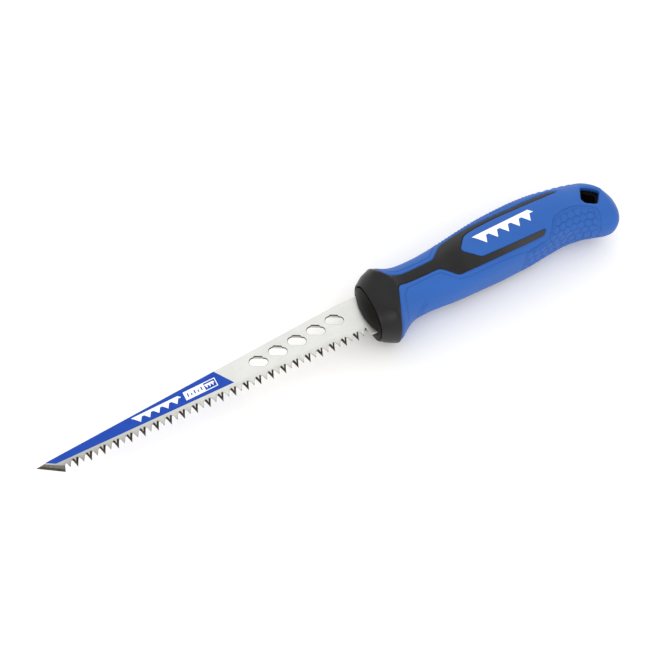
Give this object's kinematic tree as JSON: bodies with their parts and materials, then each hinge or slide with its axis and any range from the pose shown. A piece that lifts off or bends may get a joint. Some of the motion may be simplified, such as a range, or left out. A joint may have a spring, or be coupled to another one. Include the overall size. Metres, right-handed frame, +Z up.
{
  "type": "jab saw",
  "caption": "Fixed-blade jab saw for plasterboard: tapered toothed blade with slanted slots, round guard and straight two-material grip.",
  "frame": {"origin": "middle of the saw's outline, on the surface that it lies on", "axes": "the saw lies on its side: +X along the tooth line towards the butt of the handle, +Y towards the spine of the blade, +Z up, square to the blade"},
  "size_m": [0.3088, 0.0394, 0.0304],
  "materials": {
    "blade_steel": "fine ground, brushed along the blade",
    "edge_steel": "ground teeth, slightly darker",
    "pin_steel": "turned",
    "core_plastic": "black moulded",
    "nose_plastic": "satin black moulded",
    "black_rubber": "satin soft-touch",
    "blue_plastic": "satin moulded, hexagon texture near the butt",
    "blue_enamel": "printed gloss enamel",
    "white_ink": "printed ink"
  },
  "bodies": {
    "root": {"blade_back": "blade_steel", "hard_edge": "edge_steel", "tang_pin_front": "pin_steel", "tang_pin_rear": "pin_steel", "core": "core_plastic", "nose_plug": "nose_plastic", "rubber_grip": "black_rubber", "hard_grip": "blue_plastic", "band_left": "blue_enamel", "band_right": "blue_enamel", "band_mark_left": "white_ink", "band_mark_right": "white_ink", "grip_mark_left": "white_ink", "grip_mark_right": "white_ink"}
  },
  "joints": []
}
